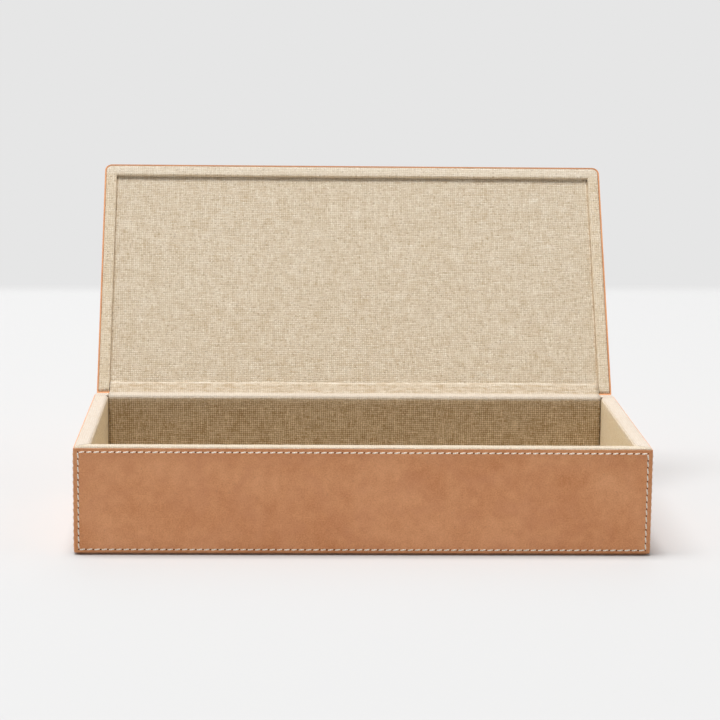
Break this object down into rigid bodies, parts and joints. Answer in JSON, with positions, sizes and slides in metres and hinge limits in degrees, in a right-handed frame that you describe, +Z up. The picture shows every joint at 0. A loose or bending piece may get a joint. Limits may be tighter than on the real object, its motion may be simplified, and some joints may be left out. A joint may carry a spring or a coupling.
{
  "type": "stationery box",
  "caption": "Long low stationery box of boards covered in natural leather and lined with linen, with a flat lid that stands open on a leather and linen hinge along the back.",
  "frame": {"origin": "middle of the underside, on the table", "axes": "+Z up, +X to the right of someone who faces the front, along the box's length, -Y out of the front, and the lid's hinge along the back at +Y"},
  "size_m": [0.356, 0.2844, 0.2152],
  "materials": {
    "natural_leather": "natural vegetable-tanned leather, smooth, waxed, with stitched edges",
    "natural_linen": "plain-woven natural book linen, unbleached",
    "brown_felt": "dense brown felt",
    "board": "bare grey-brown box board, hidden under the coverings",
    "card": "grey card, hidden inside the linen panels"
  },
  "bodies": {
    "box": {"base_board": "board", "front_board": "board", "back_board": "board", "left_board": "board", "right_board": "board", "base_felt": "brown_felt", "front_leather": "natural_leather", "back_leather": "natural_leather", "left_leather": "natural_leather", "right_leather": "natural_leather", "front_lining": "natural_linen", "left_lining": "natural_linen", "right_lining": "natural_linen", "back_lining": "natural_linen", "floor_card": "card", "floor_linen": "natural_linen", "spine_leather": "natural_leather", "hinge_linen": "natural_linen"},
    "lid": {"lid_leather": "natural_leather", "lid_board": "board", "border_front_bar": "board", "border_left_bar": "board", "border_right_bar": "board", "border_linen": "natural_linen", "lid_panel_card": "card", "lid_panel_linen": "natural_linen"}
  },
  "joints": [
    {"name": "lid_hinge", "type": "hinge", "parent": "box", "child": "lid", "pos_m": [0, 0.089, 0.068], "axis": [1, 0, 0], "range_deg": [0, 123.5], "deforming": ["spine_leather", "hinge_linen"]}
  ]
}
